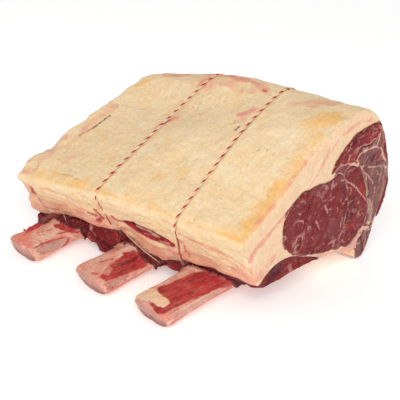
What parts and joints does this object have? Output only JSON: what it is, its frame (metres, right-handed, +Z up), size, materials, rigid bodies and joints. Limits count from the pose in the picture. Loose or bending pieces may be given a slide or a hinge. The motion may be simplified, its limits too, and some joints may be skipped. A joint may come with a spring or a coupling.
{
  "type": "beef rib roast",
  "caption": "Raw beef rib joint with a fat cap, cut muscles at both end faces, trimmed rib bones and loops of tied twine.",
  "frame": {"origin": "on the table under the middle of the overall box", "axes": "+X along the back bone to the larger cut face, +Y along the ribs from their bare tips to the chine, +Z up from the table"},
  "size_m": [0.1874, 0.2166, 0.1313],
  "materials": {
    "fat": "raw beef fat, cream with yellow patches, satin and slightly greasy",
    "lean": "raw lean beef, dark red, moist, with fine pale marbling",
    "sinew": "grey-pink strap, cartilage and bone end, moist",
    "bone": "scraped rib bone, cream and pink with red stains, satin",
    "twine": "twisted butcher's twine, off-white with a red strand, matt"
  },
  "bodies": {
    "root": {"fat_cap": "fat", "eye_muscle": "lean", "inner_muscle": "lean", "cap_muscle": "lean", "back_muscle": "lean", "rib_lean": "lean", "side_lean": "lean", "back_strap": "sinew", "feather_band": "sinew", "chine_foot": "sinew", "rib_bone_1": "bone", "rib_bone_2": "bone", "rib_bone_3": "bone", "twine_1": "twine", "twine_2": "twine"}
  },
  "joints": []
}
